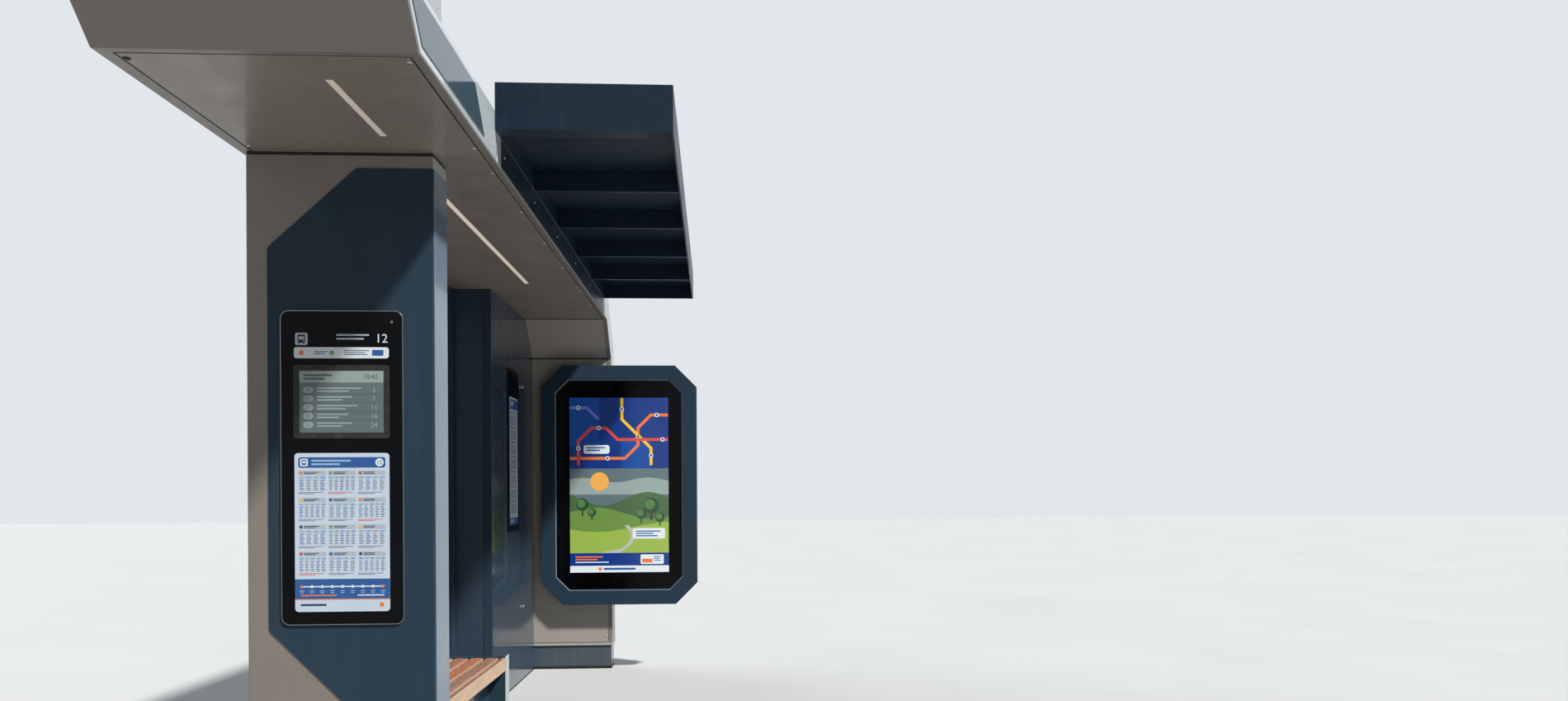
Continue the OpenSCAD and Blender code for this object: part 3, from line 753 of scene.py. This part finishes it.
def bus_sign(piece, left, low, size, base, ground, mark):
    """A plain front view of a bus in a rounded square."""
    unit = size / 20.0
    back, body, glass = (base, base + 0.2), (base + 0.2, base + 0.4), (base + 0.4, base + 0.5)
    piece.slab(oblong(left, low, size, size, 3 * unit), back, ground)
    piece.slab(oblong(left + 4 * unit, low + 4 * unit, 12 * unit, 13 * unit, 2 * unit), body, mark)
    piece.slab(oblong(left + 5.5 * unit, low + 9 * unit, 9 * unit, 5 * unit, unit), glass, ground)
    for x in (left + 6.6 * unit, left + 13.4 * unit):
        piece.slab(disc((x, low + 6.6 * unit), unit, 16), glass, ground)
        wheel = oblong(x - 1.3 * unit, low + 2.6 * unit, 2.6 * unit, 2.2 * unit, 0.6 * unit)
        piece.slab(wheel, body, mark)


@fitting("printed_sheet", inks=PRINT)
def info_header(piece):
    """Number, pictogram and a pale strip at the top of the column's glass."""
    wide, tall = piece.side("info_glass", NEAR)
    side = (wide - extent("timetable_sheet")[0]) / 2
    ground, patch, line = (0.1, 0.4), (0.4, 0.55), (0.4, 0.5)
    bus_sign(piece, side + 4, tall - 116, 42, 0.1, "grey", MAT["dark_glass"])
    piece.number("12", (wide - side - 24, tall - 92), 30, ground, "pale")
    piece.bars(wide - side - 176, tall - 78, (110, 92), 6, 7, (0.1, 0.3), "grey")
    low, high = tall - 161, tall - 123
    piece.slab(oblong(side, low, wide - 2 * side, high - low, 9), ground, "pale")
    piece.slab(oblong(side + 262, low + 9, 38, 20, 2), patch, "blue")
    piece.bars(side + 168, high - 10, (84, 70, 78), 3.2, 3.6, line, "slate")
    piece.slab(disc((side + 126, (low + high) / 2), 8), patch, "green")
    piece.bars(side + 68, high - 14, (44, 36), 3.2, 3.6, line, "slate")
    piece.slab(oblong(side + 16, low + 10, 18, 18, 9), patch, "orange")
    sensor = [(4.5, 0.0), (4.5, 0.5), (3.2, 0.9), (1.0, 1.0)]
    piece.lathe((wide - 34, tall - 36), sensor, MAT["bare_metal"])


@fitting("dark_glass", bevel=0.4)
def epaper_bezel(piece):
    """Thin black frame round the electronic paper, its inner edge sloped down."""
    wide, tall = piece.side("epaper_screen", NEAR)
    foot, rim, thick = -extent("epaper_screen")[1], 20.0, 2.4
    piece.ring(inset(wide, tall, -rim, 8), inset(wide, tall, 0, 1.0), (foot, foot + thick), BEZEL, slope=0.8)


# Route, width of its bar and minutes
DEPARTURES = (("4", 150, "3"), ("12", 118, "7"), ("27", 136, "11"), ("30", 104, "16"), ("12", 118, "24"))


@fitting("epaper", inks=EPAPER)
def epaper_print(piece):
    """Rows of route, bar and minutes on the electronic paper."""
    wide, tall = piece.side("epaper_screen", NEAR)
    head, row_top, edge, patch = 40.0, 50.0, 12.0, (0.05, 0.15)
    piece.slab(oblong(0, tall - head, wide, head), (0.05, 0.12), "light")
    piece.bars(14, tall - edge, (96, 70), 6, 6, (0.12, 0.2), "dark")
    piece.number("10:42", (wide - 44, tall - head / 2), 16, (0.12, 0.22), "dark")
    pitch = (tall - row_top - edge) / len(DEPARTURES)
    for i, (route, reach, minutes) in enumerate(DEPARTURES):
        level = tall - row_top - (i + 0.5) * pitch
        piece.slab(oblong(edge, level - 11, 34, 22, 11), patch, "light")
        piece.number(route, (29, level), 12, (0.15, 0.24), "dark")
        piece.bars(58, level + 8, (reach, reach * 0.72), 5, 5, (0.05, 0.14), "light")
        piece.number(minutes, (wide - 32, level), 16, patch, "light")
        if i:
            piece.slab(oblong(edge, level + pitch / 2 - 0.6, wide - 2 * edge, 1.2), (0.05, 0.1), "dark")


SHEET_EDGE = 13.0
BLOCK_GAP = 7.0
BLOCK_COLUMNS = 3
BLOCK_ROWS = 4
BULLETS = ("orange", "green", "red", "yellow", "blue", "orange", "navy", "green", "yellow", "red", "blue",
           "navy")


@fitting("printed_sheet", inks=PRINT)
def timetable_print(piece):
    """A plain timetable: header, blocks of times and a line diagram."""
    wide, tall = piece.side("timetable_sheet", NEAR)
    timetable_header(piece, wide, tall)
    top, low = tall - 60, 120
    block = (wide - 2 * SHEET_EDGE - BLOCK_GAP * (BLOCK_COLUMNS - 1)) / BLOCK_COLUMNS
    height = (top - low - BLOCK_GAP * (BLOCK_ROWS - 1)) / BLOCK_ROWS
    for order in range(BLOCK_ROWS * BLOCK_COLUMNS):
        row, column = divmod(order, BLOCK_COLUMNS)
        left = SHEET_EDGE + column * (block + BLOCK_GAP)
        time_block(piece, left, top - row * (height + BLOCK_GAP), block, height, order)
    line_diagram(piece, wide)


def timetable_header(piece, wide, tall):
    """A blue bar with a bus, two lines and the number."""
    badge = (wide - SHEET_EDGE - 20, tall - 32)
    piece.slab(oblong(SHEET_EDGE, tall - 50, wide - 2 * SHEET_EDGE, 36, 8), (0.05, 0.2), "blue")
    piece.slab(disc(badge, 14), (0.2, 0.3), "pale")
    piece.number("12", badge, 13, (0.3, 0.4), "navy")
    bus_sign(piece, SHEET_EDGE + 6, tall - 45, 26, 0.2, "pale", "blue")
    piece.bars(SHEET_EDGE + 44, tall - 23, (132, 96), 6, 6, (0.2, 0.3), "sky")


def time_block(piece, left, top, width, height, order):
    """One block of times: a title bar, columns with an hour over them, and a remark."""
    line = (0.05, 0.12)
    piece.slab(oblong(left, top - 15, width, 15, 3), (0.05, 0.15), "grey")
    piece.slab(disc((left + 8, top - 7.5), 5.4, 18), (0.15, 0.25), BULLETS[order])
    piece.bars(left + 18, top - 4, (50 - 6 * (order % 3), 38), 2.6, 2.2, (0.15, 0.22), "navy")
    columns = 4 + order % 2
    cell = width / columns
    for i in range(columns):
        start = left + i * cell
        piece.slab(oblong(start + 1, top - 27, cell - 2, 8, 1), (0.05, 0.14),
                   "sky" if (i + order) % 2 else "grey")
        piece.number(str(6 + 3 * i + order % 3), (start + cell / 2, top - 23), 5.4, (0.14, 0.2), "navy")
        times = [cell * (0.72 - 0.1 * ((i * 3 + j * 2 + order) % 3)) for j in range(7)]
        piece.bars(start + cell * 0.14, top - 31, times, 2.3, 3.2, line,
                   "slate" if (i + order) % 3 else "blue")
    piece.bars(left, top - height + 12, (width * 0.9, width * 0.6), 2.0, 2.4, line,
               "red" if order % 4 == 1 else "slate")


def line_diagram(piece, wide):
    """A blue band with a line of stops, and the sheet's foot under it."""
    stops, level, inner = 9, 86, SHEET_EDGE + 6
    line, stop = (0.2, 0.28), (0.28, 0.36)
    piece.slab(oblong(0, 44, wide, 68), (0.05, 0.2), "blue")
    piece.slab(oblong(inner, level - 2, wide - 2 * inner, 4, 2), line, "pale")
    for i in range(stops):
        x = SHEET_EDGE + 10 + i * (wide - 2 * SHEET_EDGE - 20) / (stops - 1)
        piece.slab(disc((x, level), 5.2, 18), stop, "orange" if i in (0, stops - 1) else "pale")
        piece.slab(oblong(x - 8, 70, 16, 2.6, 1), line, "sky")
        piece.slab(oblong(x - 6, 64, 12, 2.6, 1), line, "sky")
    piece.bars(inner, 58, (120,), 4, 3, line, "orange")
    piece.bars(wide - SHEET_EDGE - 96, 58, (90,), 4, 3, line, "pale")
    piece.slab(oblong(0, 41, wide, 3), (0.05, 0.22), "orange")
    piece.bars(inner, 27, (86,), 7, 3, (0.05, 0.15), "navy")
    piece.slab(disc((wide - SHEET_EDGE - 14, 23), 8), (0.05, 0.2), "orange")


@fitting("printed_sheet", inks=PRINT)
def notice_print(piece):
    """The cabinet's printed sheet: a header and boxes of lines."""
    wide, tall = piece.side("cabinet_sheet", ROAD)
    edge, rows, band, on_band, mark = 10.0, 7, (0.05, 0.3), (0.3, 0.4), (0.2, 0.3)
    piece.slab(oblong(edge, tall - 76, wide - 2 * edge, 62, 8), band, "blue")
    piece.bars(22, tall - 28, (120, 84), 9, 8, on_band, "pale")
    pitch = (tall - 150) / rows
    for i in range(rows):
        top = tall - 88 - i * pitch
        piece.slab(oblong(edge, top - 16, wide - 2 * edge, 16, 3), (0.05, 0.2), "grey")
        piece.slab(disc((20, top - 8), 6, 18), mark, BULLETS[i])
        piece.bars(34, top - 5, (96, 70), 2.8, 2.4, mark, "navy")
        lines = [wide - 40 - 18 * ((i + j) % 3) for j in range(8)]
        piece.bars(14, top - 26, lines, 3.4, 4.2, (0.05, 0.14), "slate")
    piece.slab(oblong(0, 0, wide, 44), band, "blue")
    piece.bars(16, 32, (130, 90), 6, 6, on_band, "pale")


# The portrait screen's picture


@fitting("screen", inks=LIT)
def screen_picture(piece):
    """A made-up travel poster: a line plan over a rolling landscape."""
    wide, tall = piece.side("display_screen", NEAR)
    horizon = tall * 0.545
    plan_ground(piece, wide, tall, horizon + 60)
    plan_lines(piece, wide, tall)
    landscape(piece, wide, horizon)
    captions(piece, wide)


def plan_ground(piece, wide, tall, low):
    """Deep blue, with two fields of a lighter blue."""
    field = (0.1, 0.14)
    piece.slab(oblong(0, low, wide, tall - low), (0.02, 0.1), "deep")
    piece.slab(oblong(0, low + 160, wide * 0.30, tall - low - 160), field)
    piece.slab(oblong(wide * 0.52, low, wide * 0.30, 200), field)


def plan_lines(piece, wide, tall):
    """Four lines over each other, and a label."""
    transit_line(piece, tall, "orange", 0.14,
                 [(wide - 2, 120), (wide - 120, 120), (wide - 210, 210), (wide - 210, 330),
                  (wide - 300, 420), (wide - 678, 420)],
                 [(wide - 80, 120), (wide - 210, 270), (wide - 420, 420)])
    transit_line(piece, tall, "yellow", 0.3,
                 [(wide - 320, 2), (wide - 320, 150), (wide - 120, 350), (wide - 120, 468)],
                 [(wide - 320, 80), (wide - 120, 400)])
    transit_line(piece, tall, "red", 0.46,
                 [(60, 468), (60, 300), (150, 210), (250, 210), (330, 290), (wide - 2, 290)],
                 [(60, 350), (200, 210), (wide - 40, 290)])
    transit_line(piece, tall, "violet", 0.62, [(2, 70), (120, 70), (200, 150)], [(60, 70)])
    piece.slab(oblong(96, tall - 388, 178, 60, 16), (0.7, 0.8), "white")
    piece.bars(114, tall - 342, (132, 96), 9, 9, (0.8, 0.86), "blue")


def transit_line(piece, tall, colour, base, points, stops):
    """A coloured line with round stops; the places are given from the left and from the top."""
    route = stroke([(x, tall - depth) for x, depth in points], 20)
    piece.slab(route, (base, base + 0.12), colour)
    for x, depth in stops:
        piece.slab(disc((x, tall - depth), 15, 24), (base + 0.12, base + 0.2), "white")
        piece.slab(disc((x, tall - depth), 8, 20), (base + 0.2, base + 0.28), "deep")


def landscape(piece, wide, horizon):
    """Haze, a low sun, three hills, a road and trees."""
    foot = 126
    piece.slab(oblong(0, foot, wide, horizon - 66), (0.02, 0.1), "dusk")
    piece.slab(hill(wide, horizon - 120, horizon - 20, 16, 3.0, 0.4), (0.1, 0.16), "haze")
    piece.slab(disc((wide * 0.30, horizon - 30), 64, 36), (0.16, 0.2), "sun")
    piece.slab(hill(wide, 200, horizon - 150, 46, 2.2, 2.4), (0.2, 0.28), "moss")
    piece.slab(hill(wide, 160, horizon - 250, 40, 1.7, 0.2), (0.28, 0.36), "leaf")
    piece.slab(hill(wide, foot, horizon - 345, 34, 1.3, 3.6), (0.36, 0.44), "lime")
    piece.slab(winding_road(foot), (0.44, 0.5), "road")
    for x, depth, size in ((86, 270, 120), (150, 300, 84), (560, 300, 150), (490, 320, 96), (620, 340, 90)):
        tree(piece, x, horizon - depth, size, 0.5)


def winding_road(foot):
    """A road that narrows as it winds away."""
    steps = [(120 * math.sin(t * 0.5), foot + 40 * t) for t in range(1, 6)]
    right_side = [(330 + swing, level) for swing, level in steps]
    left_side = [(300 + swing, level) for swing, level in reversed(steps)]
    return [(150, foot), (330, foot)] + right_side + left_side


def tree(piece, x, y, size, base):
    """A round crown on a short trunk, lit from the upper left."""
    trunk, crown, lit = (base, base + 0.1), (base + 0.1, base + 0.18), (base + 0.18, base + 0.24)
    piece.slab(oblong(x - size * 0.05, y, size * 0.10, size * 0.5), trunk, "bark")
    piece.slab(disc((x, y + size * 0.68), size * 0.36, 24), crown, "pine")
    piece.slab(disc((x - size * 0.07, y + size * 0.74), size * 0.24, 20), lit, "grass")


def captions(piece, wide):
    """A label on the hill, a blue band with a card, and a white foot."""
    band, line, on_card = (0.5, 0.6), (0.6, 0.66), (0.7, 0.76)
    piece.slab(oblong(wide - 250, 232, 226, 74, 14), (0.72, 0.8), "white")
    piece.bars(wide - 228, 288, (170, 120, 150), 8, 8, (0.8, 0.86), "blue")
    piece.slab(oblong(0, 46, wide, 88), band, "deep")
    piece.slab(oblong(wide - 196, 56, 160, 66, 8), (0.6, 0.7), "white")
    piece.slab(oblong(wide - 184, 66, 70, 26, 3), on_card, "orange")
    piece.bars(wide - 104, 110, (52, 40, 48), 6, 7, on_card, "blue")
    piece.bars(36, 112, (190, 150), 9, 9, line, "orange")
    piece.bars(36, 74, (230,), 7, 8, line, "white")
    piece.slab(oblong(0, 0, wide, 46), band, "white")
    piece.bars(wide / 2 - 110, 31, (220,), 14, 6, line, "blue")
    piece.slab(disc((wide / 2 - 134, 24), 12), line, "orange")


# Trim, beads and plates


@fitting("bare_metal")
def display_trim(piece):
    """Bevelled lip between the surround and its glass; its pale colour is a painted highlight."""
    low = ends("display_glass")[0]
    wide, tall = piece.side("display_glass", NEAR)
    rise = low[1] - ends("display_surround")[0][1]
    cut = min(v.x for v in vertices("display_glass") if abs(v.z - low[2]) < 0.01) - low[0]
    edge = 7.0
    inner = cut_oblong(edge, edge, wide - 2 * edge, tall - 2 * edge, cut - edge * (2 - math.sqrt(2)))
    piece.ring(cut_oblong(0, 0, wide, tall, cut), inner, (0.0, rise * 0.9), LIP, slope=rise * 0.7)


@fitting("navy_paint")
def back_beads(piece):
    """Rubber gasket and glazing bead round the back glass, on both faces."""
    frame_low, frame_high = ends("back_frame")
    low, high = ends("back_glass")
    bite, gasket, bead = 15.0, 7.0, 16.0
    for way, room in ((ROAD, frame_high[0] - high[0]), (REAR, low[0] - frame_low[0])):
        wide, tall = piece.side("back_glass", way)
        outer = inset(wide, tall, bite)
        piece.ring(outer, inset(wide, tall, bite + gasket), (0, 4), RUBBER_AND_PAINTED_SHADE)
        piece.ring(outer, inset(wide, tall, bite + bead), (4, room * 0.45), slope=6)


@fitting("bare_metal")
def bench_fixings(piece):
    """A screw through each slat at every bearer."""
    width, length = piece.side("bench_slats", TOP)
    slats, slat_width, bearer_in, bearer_pitch = 6, 56.0, 60, 480
    step = (width - slat_width) / (slats - 1)
    for i in range(slats):
        for y in spread(bearer_in, length - bearer_in, bearer_pitch):
            piece.screw((i * step + slat_width / 2, y), SLAT_SCREW_RADIUS, mat=BRONZE)


@fitting("navy_paint", bevel=1.0)
def bench_fold(piece):
    """Folded edge of the bench's far plate, on the road side, pale there with painted sunlight."""
    wide, tall = piece.side("bench_end_plates", ROAD)
    piece.slab(oblong(wide, 0, FOLD_DEEP, tall), (-FOLD_THICK, 0), BENCH_STEEL)


@fitting("cabinet_paint", bevel=1.0)
def cabinet_doors(piece):
    """Two service plates on the cabinet's rear."""
    wide = piece.side("cabinet_body", REAR)[0]
    base, top = 40, extent("end_wall_panel")[2] + 165
    side, half_gap, screw_in = 8, 3, 22
    rows = spread(base + 50, top - 50, SCREW_PITCH)
    for start, stop in ((side, wide / 2 - half_gap), (wide / 2 + half_gap, wide - side)):
        places = [(x, z) for x in (start + screw_in, stop - screw_in) for z in rows]
        piece.screwed_plate(oblong(start, base, stop - start, top - base, 4), places)


@fitting("ribbon_paint", bevel=1.2)
def roof_joints(piece):
    """Cover strips over the canopy's top joints, in line with the soffit's."""
    low, high = ends("canopy_shell")
    piece.on((low[0], 0, ends("fascia_panel")[1][2]), TOP)
    side_in, strip, first, last, pitch = 3, 44, 880, 4, 900
    width = high[0] - low[0] - 2 * side_in
    for y in spread(low[1] + first, high[1] - last, pitch):
        piece.slab(oblong(side_in, y - strip / 2, width, strip, 2), (0, 4))


@fitting("ribbon_paint", bevel=0.9)
def outer_panels(piece):
    """Panels on the end wall's street side that answer the ones inside."""
    low, high = ends("end_wall_shell")
    edge, knee_gap, screw_in = 30.0, 12.0, 20.0
    wide = high[0] - low[0]
    sides = (edge + screw_in, wide - edge - screw_in)
    rear = [v for v in vertices("end_wall_shell") if v.x < low[0] + 1]
    knee = max(v.z for v in rear if v.y > high[1] - 1)
    crest = max(v.y for v in rear if v.z > high[2] - 1)
    piece.on((high[0], high[1], 0), FAR)
    base, top = ends("end_wall_panel")[0][2] + edge, knee - knee_gap
    places = [(x, z) for x in sides for z in spread(base + 30, top - 30, SCREW_PITCH)]
    piece.screwed_plate(oblong(edge, base, wide - 2 * edge, top - base, 14), places)
    slope = Vector((0, crest - high[1], high[2] - knee))
    piece.on((high[0], high[1], knee), (FAR[0], slope.normalized()))
    run = slope.length
    places = [(x, z) for x in sides for z in (32, run - 32)]
    piece.screwed_plate(oblong(edge, knee_gap, wide - 2 * edge, run - 2 * knee_gap, 8), places)


@fitting("navy_paint", bevel=0.9)
def display_back(piece):
    """Service plate on the rear of the display, where it stands past the wall."""
    edge, side_in, cut = 40.0, 30.0, 130.0
    top = piece.side("display_housing", FAR)[1] - edge
    right = ends("display_housing")[1][0] - ends("end_wall_shell")[1][0] - side_in
    outline = [(edge, edge + cut), (edge + cut, edge), (right, edge), (right, top),
               (edge + cut, top), (edge, top - cut)]
    places = [(right - 18, z) for z in spread(edge + 18, top - 18, SCREW_PITCH)]
    places += [(edge + 16, z) for z in spread(edge + cut + 10, top - cut - 10, SCREW_PITCH)]
    piece.screwed_plate(outline, places)


@fitting("awning_paint", bevel=0.8)
def awning_ledger(piece):
    """Dark ledger plate on the canopy's road face, under the awning's rear plate."""
    low, high = ends("awning_rear_plate")
    shell_low, shell_high = ends("canopy_shell")
    piece.on((shell_high[0], low[1], shell_low[2]), ROAD)
    wide, top, end_in = high[1] - low[1], low[2] - shell_low[2], 90
    piece.slab(oblong(0, LEDGER_LIFT, wide, top - LEDGER_LIFT), (0, LEDGER_THICK))
    for y in spread(end_in, wide - end_in, SCREW_PITCH):
        piece.screw((y, (LEDGER_LIFT + top) / 2), SMALL_SCREW_RADIUS, LEDGER_THICK)


@fitting("awning_paint", bevel=1.0)
def awning_seams(piece):
    """Standing seams of the awning's roof sheet, one over each rib."""
    low, high = ends("awning_roof")
    piece.on((low[0], 0, high[2]), TOP)
    ribs = sorted({round(v.y) for v in vertices("awning_ribs")})[::2]
    far_reach = max(v.x for v in vertices("awning_roof") if v.y > high[1] - 1)
    end_in, seam, tall = 4, 20, 12
    for y in ribs:
        share = (y - low[1]) / (high[1] - low[1])
        reach = high[0] + (far_reach - high[0]) * share - low[0]
        piece.slab(oblong(end_in, y - 2, reach - 2 * end_in, seam, 1.5), (0, tall))


# Studio


def make_camera():
    """A level wide camera, turned a little to the road and shifted up."""
    cam = add_object("photo_camera", settle(bpy.data.cameras.new("photo_camera"), **CAMERA_LENS))
    matrix = Matrix.Translation(CAMERA_PLACE)
    for turn, axis in ((-CAMERA_YAW, "Z"), (90 + CAMERA_PITCH, "X"), (-CAMERA_ROLL, "Z")):
        matrix = matrix @ Matrix.Rotation(math.radians(turn), 4, axis)
    cam.matrix_world = matrix
    SCENE.camera = cam


def soft_sun(name, toward, strength, spread_degrees, colour):
    """A wide, even lamp that lights the whole floor alike; toward points at it."""
    lamp = settle(bpy.data.lights.new(name, "SUN"), energy=strength,
                  angle=math.radians(spread_degrees), color=colour)
    add_object(name, lamp).rotation_euler = Vector(toward).to_track_quat("Z", "Y").to_euler()


def seen_rays(tree):
    """1 for what the camera sees, straight on or by way of metal and glass."""
    rays = tree.nodes.new("ShaderNodeLightPath").outputs
    shown = rays["Is Camera Ray"]
    for kind in ("Is Glossy Ray", "Is Transmission Ray"):
        shown = shader_node(tree, "Math", "Value", {0: shown, 1: rays[kind]}, operation="MAXIMUM")
    return shown


def make_sky():
    """A dim even light all round, shown as a pale backdrop."""
    SCENE.world = settle(bpy.data.worlds.new("studio"), use_nodes=True)
    tree = SCENE.world.node_tree
    light = fill(tree, tree.nodes["Background"], {"Color": SKY_LIGHT, "Strength": 0.16})
    backdrop = shader_node(tree, "Background", "Background", {"Color": SKY_SEEN, "Strength": 0.95})
    sockets = {"Fac": seen_rays(tree), 1: light.outputs["Background"], 2: backdrop}
    fill(tree, tree.nodes["World Output"], {"Surface": shader_node(tree, "MixShader", "Shader", sockets)})


def make_floor():
    """A pale floor with faint clouds in it."""
    mesh = bpy.data.meshes.new("floor")
    corners = [(x * FLOOR_REACH, y * FLOOR_REACH, 0) for x, y in ((-1, -1), (1, -1), (1, 1), (-1, 1))]
    mesh.from_pydata(corners, [], [(0, 1, 2, 3)])
    floor = add_object("floor", mesh)
    look = Look("floor_pale", Specular_IOR_Level=0.12)
    cloud = look.noise(0.6, 3.0)
    seen = look.blend(look.span(cloud, 0.3, 0.7), *FLOOR_SEEN)
    tone = look.blend(seen_rays(look.tree), FLOOR_BOUNCE, seen)
    look.bump(look.noise(60.0, 3.0), 0.001, 0.2)
    mesh.materials.append(look.done(tone, look.span(cloud, 0.3, 0.7, 0.7, 0.85)))


make_camera()
make_sky()
make_floor()
soft_sun("key", (0.53, -0.38, 0.76), 5.2, 4.0, (1.0, 0.975, 0.94))
soft_sun("back", (-0.70, 0.45, 0.62), 1.3, 50.0, (0.95, 0.98, 1.0))
dress_nodes()
for build, piece, bevel in FITTINGS:
    build(piece)
    piece.finish(bevel)

SCENE.view_settings.view_transform = "Standard"
